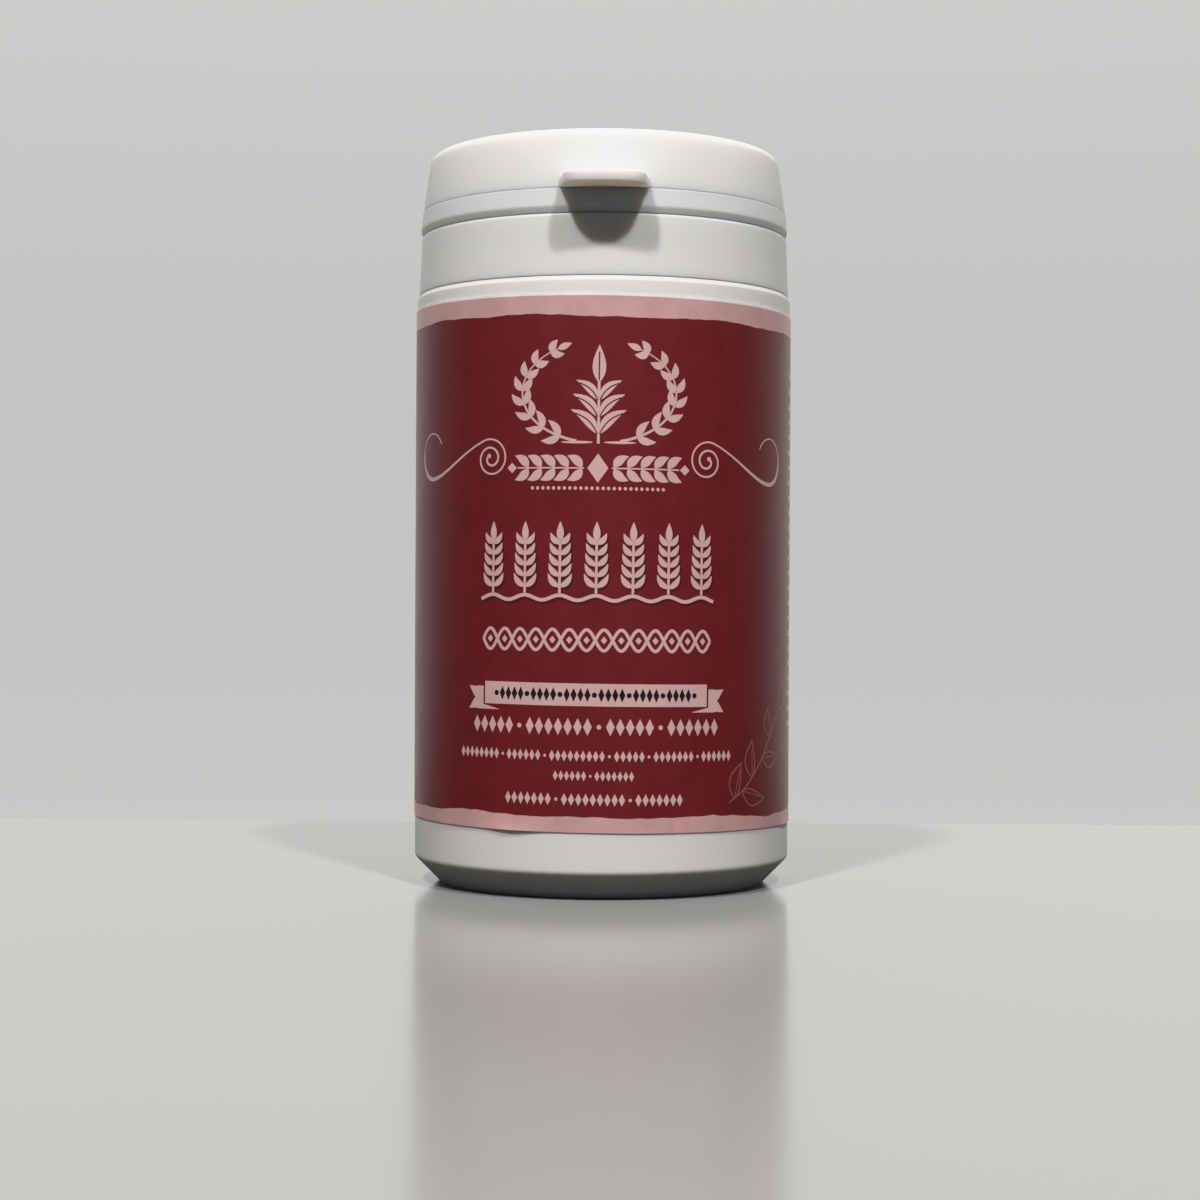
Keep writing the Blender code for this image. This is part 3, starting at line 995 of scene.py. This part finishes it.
def make_sprig():
    """The emblem's place: an upright leafy sprig between two bowed leafy branches."""
    lines = []
    middle = np.array((0.0, 73.2))
    swing = np.radians(np.linspace(-74.0, 58.0, 60))
    branch = middle + np.column_stack((11.4 * np.cos(swing), 7.3 * np.sin(swing)))
    lines.append(line_of_ink(branch, np.linspace(0.20, 0.08, 60)))
    stations = np.linspace(6, 56, 8).astype(int)
    heading = np.degrees(np.unwrap(np.arctan2(*np.gradient(branch, axis=0)[:, ::-1].T)))
    for count, at in enumerate(stations):
        size = 2.9 - 0.12 * count
        lines.append(leaf(branch[at], toward(branch[at], heading[at] + 33.0, size), 1.05, 0.10))
        lines.append(leaf(branch[at], toward(branch[at], heading[at] - 33.0, size), 1.05, -0.10))
    lines.append(leaf(branch[-1], toward(branch[-1], heading[-1], 2.2), 0.9))
    sprig = (((0.15, 67.2), 5.2, 1.5), ((0.15, 69.7), 4.8, 1.4), ((0.15, 72.1), 4.2, 1.3))
    for root, size, width in sprig:
        lines.append(leaf(root, toward(root, 42.0, size), width, 0.12))
    lines.append(taper((0.8, 66.0), (5.4, 66.0), 0.16))
    lines = mirrored(lines)
    lines.append(bar((0.0, 65.8), (0.0, 75.2), 0.19))
    lines.append(leaf((0.0, 74.6), (0.0, 80.0), 1.9))
    print_piece("print_sprig", lines, PALE_INK)
    veins = []
    for root, size, width in sprig:
        vein = midrib(root, toward(root, 42.0, 0.86 * size), 0.12, 9)
        veins.append(line_of_ink(vein, 0.09, proud=OVERPRINT_PROUD))
    veins = mirrored(veins)
    veins.append(bar((0.0, 75.0), (0.0, 79.0), 0.10, proud=OVERPRINT_PROUD))
    print_piece("print_sprig_veins", veins, RED_INK)


def make_scrolls():
    """A scroll on each side: a fine spiral that unrolls into a thicker dip and ends in a hook."""
    eye = np.array((16.6, 63.7))
    turn = np.radians(np.linspace(70.0 + 700.0, 70.0, 120))
    radius = np.linspace(0.5, 2.9, 120)
    spiral = eye + radius[:, None] * np.column_stack((np.cos(turn), np.sin(turn)))
    hook_eye = np.array((30.3, 64.6))
    hook_turn = np.radians(np.linspace(-90.0, 150.0, 60))
    hook_radius = np.linspace(3.6, 3.1, 60)
    hook = hook_eye + hook_radius[:, None] * np.column_stack((np.cos(hook_turn), np.sin(hook_turn)))
    start, end = spiral[-1], hook[0]
    pull = np.array((math.sin(turn[-1]), -math.cos(turn[-1]))) * 4.6
    s = np.linspace(0.0, 1.0, 30)[1:-1, None]
    tail = (
        (1 - s) ** 3 * start
        + 3 * (1 - s) ** 2 * s * (start + pull)
        + 3 * (1 - s) * s ** 2 * (end - np.array((4.0, 0.0)))
        + s ** 3 * end
    )
    path = np.vstack((spiral, tail, hook))
    share = np.linspace(0.0, 1.0, len(path))
    half = 0.17 - 0.08 * share + 0.20 * np.exp(-((share - 0.74) / 0.09) ** 2)
    lines = [line_of_ink(path, half), dot(spiral[0], 0.32)]
    print_piece("print_scrolls", mirrored(lines), PALE_INK)


def make_garland():
    """The maker's line's place: a lozenge with rows of paired leaves, over a dotted rule."""
    middle = 62.3
    lines = []
    for step in range(5):
        root = 2.3 + 2.0 * step
        for side in (1.0, -1.0):
            tip = (root + 2.1, middle + side * 1.75)
            lines.append(leaf((root, middle + side * 0.12), tip, 1.25, side * 0.12))
    lines.append(bar((2.0, middle), (12.0, middle), 0.11))
    lines.append(lozenge((12.9, middle), 1.5, 1.5))
    lines = mirrored(lines)
    lines.append(lozenge((0.0, middle), 3.0, 4.2))
    lines += [dot((0.8 * step, 59.4), 0.24) for step in range(-12, 13)]
    print_piece("print_garland", lines, PALE_INK)


def frieze_lines(proud, shift=(0.0, 0.0)):
    """A frieze of seven upright ears, each a stem with pairs of leaves, on a wavy ground line."""
    dx, dy = shift
    pitch, foot, top = 5.3, 44.3, 54.6
    lines = []
    for step in range(-3, 4):
        x = pitch * step + dx
        lines.append(bar((x, foot + dy), (x, top - 2.4 + dy), 0.19, proud=proud))
        lines.append(leaf((x, top - 2.9 + dy), (x, top + dy), 1.0, proud=proud))
        for pair in range(5):
            root = (x, foot + 0.9 + 1.55 * pair + dy)
            for side in (1.0, -1.0):
                tip = toward(root, 90.0 - side * 42.0, 2.6 - 0.12 * pair)
                lines.append(leaf(root, tip, 0.80, -side * 0.13, proud=proud))
    across = np.linspace(-3.4 * pitch, 3.4 * pitch, 241)
    up = foot - 0.65 + 0.35 * np.cos(2.0 * math.pi * across / pitch)
    lines.append(line_of_ink(np.column_stack((across + dx, up + dy)), 0.26, proud=proud))
    return lines


def make_frieze():
    """The name's place: the frieze of ears in pale ink, with a deep red shade just below it."""
    print_piece("print_frieze_shade", frieze_lines(0.4 * INK_PROUD, (0.28, -0.36)), DEEP_INK)
    print_piece("print_frieze", frieze_lines(INK_PROUD), PALE_INK)


def make_braid():
    """The lower title's place: two waves crossing, with a small lozenge in each eye."""
    middle, swing, wave = 37.6, 1.5, 5.0
    across = np.linspace(-17.5, 17.5, 281)
    lines = []
    for side in (1.0, -1.0):
        up = middle + side * swing * np.sin(2.0 * math.pi * across / wave)
        proud = INK_PROUD * (1.0 + 0.2 * side)
        lines.append(line_of_ink(np.column_stack((across, up)), 0.23, proud=proud))
    lines += [lozenge((2.5 * step + 1.25, middle), 0.9, 1.1) for step in range(-7, 7)]
    print_piece("print_braid", lines, PALE_INK)


def make_ribbon():
    """A ribbon's panel, its forked tails and the folds under it, and a row of dark marks."""
    middle, half, end, low = 29.75, 1.62, 17.1, 27.32
    s = np.linspace(0.0, 1.0, 9)
    folded = []
    for side in (1.0, -1.0):
        x = np.concatenate((np.linspace(end + 0.3, 18.7, 5), 18.7 + 1.4 * s[1:]))
        inner = np.concatenate((np.zeros(5), 1.6 * s[1:]))
        outer = np.full(len(x), 1.66)
        centre = low + 1.66 + side * (inner + outer) / 2.0
        folded.append(line_of_ink(np.column_stack((x, centre)), (outer - inner) / 2.0 + 0.01))
    fold = np.column_stack((end - 2.5 + 2.82 * s, low + 0.02 + 0.32 * s))
    folded.append(line_of_ink(fold, 0.02 + 0.32 * s))
    lines = [bar((-end, middle), (end, middle), half)] + mirrored(folded)
    print_piece("print_ribbon", lines, PALE_INK)
    dark = []
    for x in range(-15, 16):
        if x % 5 == 0:
            dark.append(dot((x, middle), 0.36, proud=OVERPRINT_PROUD))
        else:
            dark.append(lozenge((x, middle), 0.88, 2.0, proud=OVERPRINT_PROUD))
    print_piece("print_ribbon_marks", dark, DARK_INK)


def mark_row(middle, tall, pitch, groups, left):
    """A row of small upright lozenges in groups with a dot between groups."""
    x = left
    lines = []
    for number, count in enumerate(groups):
        lines += [lozenge((x + pitch * step, middle), 0.86 * pitch, tall) for step in range(count)]
        x += pitch * count
        if number + 1 < len(groups):
            lines.append(dot((x + 0.15 * pitch, middle), 0.13 * tall))
            x += 1.3 * pitch
    return lines


def make_rows():
    """The small print's place: four centred rows of lozenges in groups."""
    lines = []
    for middle, tall, pitch, groups in (
        (25.15, 2.5, 1.43, (5, 7, 5, 6)),
        (20.95, 1.6, 0.915, (8, 6, 9, 5, 7, 6)),
        (18.1, 1.45, 0.83, (6, 7)),
        (14.7, 1.8, 1.045, (7, 9, 7)),
    ):
        width = pitch * (sum(groups) - 1 + 1.3 * (len(groups) - 1))
        lines += mark_row(middle, tall, pitch, groups, -width / 2.0)
    print_piece("print_rows", lines, PALE_INK)


def make_leaf_lines():
    """A faint line drawing low on the right: outlined leaves along a bowed stem."""
    s = np.linspace(0.0, 1.0, 40)
    stem = np.column_stack((21.5 + 13.0 * s ** 1.3, 14.0 + 13.5 * s - 3.0 * np.sin(math.pi * s)))
    lines = [line_of_ink(stem, 0.09)]
    heading = np.degrees(np.arctan2(*np.gradient(stem, axis=0)[:, ::-1].T))
    for at, size, side in ((6, 5.2, 1), (12, 5.6, -1), (19, 5.4, 1), (26, 5.0, -1), (32, 4.2, 1)):
        tip = toward(stem[at], heading[at] + side * 48.0, size)
        rib = toward(stem[at], heading[at] + side * 48.0, 0.8 * size)
        lines.append(leaf_outline(stem[at], tip, 2.3, 0.09, side * 0.10))
        lines.append(bar(stem[at], rib, 0.06))
    lines.append(leaf_outline(stem[-1], toward(stem[-1], heading[-1], 4.0), 2.0, 0.09))
    print_piece("print_leaf_lines", lines, FAINT_INK)


def dashes(rng, left, right, up, half):
    """One row of dashes of uneven length."""
    lines = []
    x = left
    while x < right - 1.5:
        length = min(rng.uniform(1.6, 6.0), right - x)
        lines.append(bar((x, up), (x + length, up), half))
        x += length + rng.uniform(0.7, 1.1)
    return lines


def make_side_panels():
    """Round the sides: rows of dashes on the right, a ruled table and a blank patch on the left."""
    rng = np.random.default_rng(11)
    lines = []
    for row in range(24):
        up = 78.0 - 2.3 * row
        right = 82.0 if row % 6 != 5 else 62.0
        lines += dashes(rng, 40.0, right, up, 0.42)
    low, high, left, right = 34.0, 79.0, -82.0, -42.0
    ring = [(left, low), (right, low), (right, high), (left, high)]
    lines += [bar(a, b, 0.22) for a, b in zip(ring, ring[1:] + ring[:1])]
    lines += [bar((left, up), (right, up), 0.10) for up in np.arange(low + 4.5, high - 1.0, 4.5)]
    for up in np.arange(low + 2.25, high, 4.5):
        lines += dashes(rng, left + 2.0, left + 20.0, up, 0.5)
        lines += dashes(rng, right - 11.0, right - 2.0, up, 0.5)
    lines.append(bar((-76.0, 22.5), (-52.0, 22.5), 6.5))
    print_piece("print_side_panels", lines, PALE_INK)


# Floor, lights and camera, in metres and degrees ------------

FLOOR_HALF = 1.6
FLOOR_BACK = 0.095
FLOOR_THICK = 0.02
FLOOR_SHOWN = (0.35, 0.35, 0.346)
FLOOR_BOUNCE = (0.045, 0.045, 0.044, 1.0)
FLOOR_GLOSS = 0.15
FLOOR_ROUGHNESS = 0.16
FRONT_FILL = 0.090
BACK_FILL = 0.86
WORLD_TINT = (1.0, 1.0, 0.975, 1.0)
CAMERA_BACK = 0.370
CAMERA_HEIGHT = 0.0434
CAMERA_SIDE = -0.00036
CAMERA_LENS = 71.36
CAMERA_ROLL = math.radians(0.3)
KEY_DISTANCE = 1.3
KEY_AZIMUTH = 24.0
KEY_ELEVATION = 54.0
KEY_SIZE = 0.085
KEY_TINT = (1.0, 0.985, 0.965)
KEY_TARGET = (0.0, 0.0, 0.056)
LEFT_POWER = 11.73
RIGHT_POWER = 10.81
TONE_POINTS = ((0.36, 0.72), (0.45, 0.86), (0.62, 0.94))


def make_floor():
    """A pale, plain, slightly glossy slab. It gives the jar less bounce than it shows."""
    mesh = bpy.data.meshes.new("floor")
    plan = [(-FLOOR_HALF, -FLOOR_HALF), (FLOOR_HALF, -FLOOR_HALF)]
    plan += [(FLOOR_HALF, FLOOR_BACK), (-FLOOR_HALF, FLOOR_BACK)]
    corners = [(x, y, height) for height in (-FLOOR_THICK, 0.0) for x, y in plan]
    faces = [(3, 2, 1, 0), (4, 5, 6, 7), (0, 1, 5, 4), (1, 2, 6, 5), (2, 3, 7, 6), (3, 0, 4, 7)]
    mesh.from_pydata(corners, [], faces)
    material, tree, shader, place = new_material("floor_pale")
    shown = tinted(tree, noise(tree, place, 3.0), FLOOR_SHOWN, 0.97, 1.03)
    ray = tree.nodes.new("ShaderNodeLightPath").outputs["Is Camera Ray"]
    tree.links.new(colour_mix(tree, ray, FLOOR_BOUNCE, shown), shader.inputs["Base Color"])
    shader.inputs["Roughness"].default_value = FLOOR_ROUGHNESS
    shader.inputs["Specular IOR Level"].default_value = FLOOR_GLOSS
    mesh.materials.append(material)
    new_object("floor", mesh)


def make_world():
    """Plain grey behind the jar. As light it is dim in front, brighter behind and to the right."""
    world = bpy.data.worlds.new("studio")
    bpy.context.scene.world = world
    world.use_nodes = True
    tree = world.node_tree
    tree.nodes.clear()
    toward_sky = tree.nodes.new("ShaderNodeTexCoord").outputs["Generated"]
    split = put(tree, "ShaderNodeSeparateXYZ", {"Vector": toward_sky}).outputs
    light = map_range(
        tree, split["Y"], 0.08, 1.0, FRONT_FILL, BACK_FILL, interpolation_type="SMOOTHSTEP"
    )
    right_side = math_node(tree, "MULTIPLY_ADD", split["X"], 0.08, 1.03)
    light = math_node(tree, "MULTIPLY", light, right_side)
    above = map_range(tree, split["Z"], -0.1, 0.25, -0.15, 0.2)
    shown = math_node(tree, "MULTIPLY_ADD", math_node(tree, "MULTIPLY", above, above), 1.6, 0.552)
    seen = tree.nodes.new("ShaderNodeLightPath").outputs["Is Camera Ray"]
    strength = put(tree, "ShaderNodeMix", {"Factor": seen, "A": light, "B": shown}).outputs[0]
    background = put(tree, "ShaderNodeBackground", {"Color": WORLD_TINT, "Strength": strength})
    output = tree.nodes.new("ShaderNodeOutputWorld")
    tree.links.new(background.outputs["Background"], output.inputs["Surface"])


def make_key(name, azimuth, power):
    """A round area light aimed at the jar's middle."""
    turn, tilt = math.radians(azimuth), math.radians(KEY_ELEVATION)
    way = around(turn, math.cos(tilt), math.sin(tilt))
    light = bpy.data.lights.new(name, "AREA")
    light.shape = "DISK"
    light.size = KEY_SIZE
    light.energy = power
    light.color = KEY_TINT
    lamp = new_object(name, light)
    lamp.location = np.array(KEY_TARGET) + KEY_DISTANCE * way
    lamp.rotation_euler = (math.pi / 2.0 - tilt, 0.0, turn)


def make_camera():
    """Level with the lower half of the jar, straight in front."""
    camera = bpy.data.cameras.new("camera")
    camera.sensor_width = 36.0
    camera.lens = CAMERA_LENS
    camera.clip_start = 0.01
    camera.clip_end = 20.0
    holder = new_object("camera", camera)
    holder.location = (CAMERA_SIDE, -CAMERA_BACK, CAMERA_HEIGHT)
    holder.rotation_euler = (math.pi / 2.0, -CAMERA_ROLL, 0.0)
    bpy.context.scene.camera = holder


def set_tones():
    """Plain tones, with the brightest part of the range eased over to white, as film does."""
    view = bpy.context.scene.view_settings
    view.view_transform = "Standard"
    view.use_curve_mapping = True
    curve = view.curve_mapping
    curve.white_level = (2.0, 2.0, 2.0)
    combined = curve.curves[3]
    combined.points[-1].location = (1.0, 1.0)
    for point in TONE_POINTS:
        combined.points.new(*point)
    for point in combined.points[:2]:
        point.handle_type = "VECTOR"
    curve.update()


make_jar_shell()
make_cap_ring()
make_tamper_band()
make_flip_top()
make_fold_hinge()
make_label_wrap()
make_sprig()
make_scrolls()
make_garland()
make_frieze()
make_braid()
make_ribbon()
make_rows()
make_leaf_lines()
make_side_panels()

make_floor()
make_world()
make_key("key_left", -KEY_AZIMUTH, LEFT_POWER)
make_key("key_right", KEY_AZIMUTH, RIGHT_POWER)
make_camera()
set_tones()
